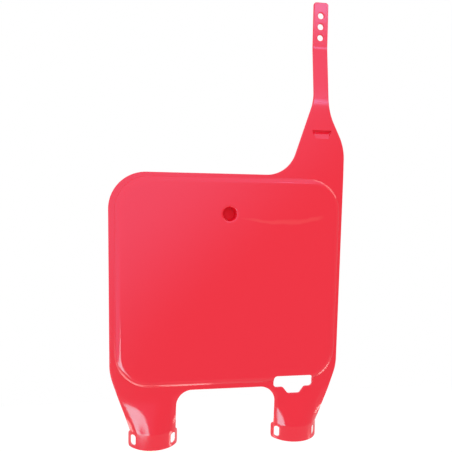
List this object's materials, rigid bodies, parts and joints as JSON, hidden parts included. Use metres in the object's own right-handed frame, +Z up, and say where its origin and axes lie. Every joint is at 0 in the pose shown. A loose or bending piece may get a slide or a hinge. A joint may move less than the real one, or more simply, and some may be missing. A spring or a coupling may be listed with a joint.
{
  "type": "racing number board",
  "caption": "One-piece moulded plastic number board with a raised field, a punched strap for the handlebar and legs that end in half sleeves for the fork tubes.",
  "frame": {"origin": "where the locating peg's axis meets the back face of the raised field, which is also the rim's front plane and the panel's centre line", "axes": "+Z runs up the board towards the strap's end, +Y from the front to the back, so the front faces -Y, and +X to the right as the front is seen"},
  "size_m": [0.2495, 0.0221, 0.4725],
  "materials": {
    "board": "glossy red injection-moulded polypropylene"
  },
  "bodies": {
    "root": {"number_board": "board"}
  },
  "joints": []
}
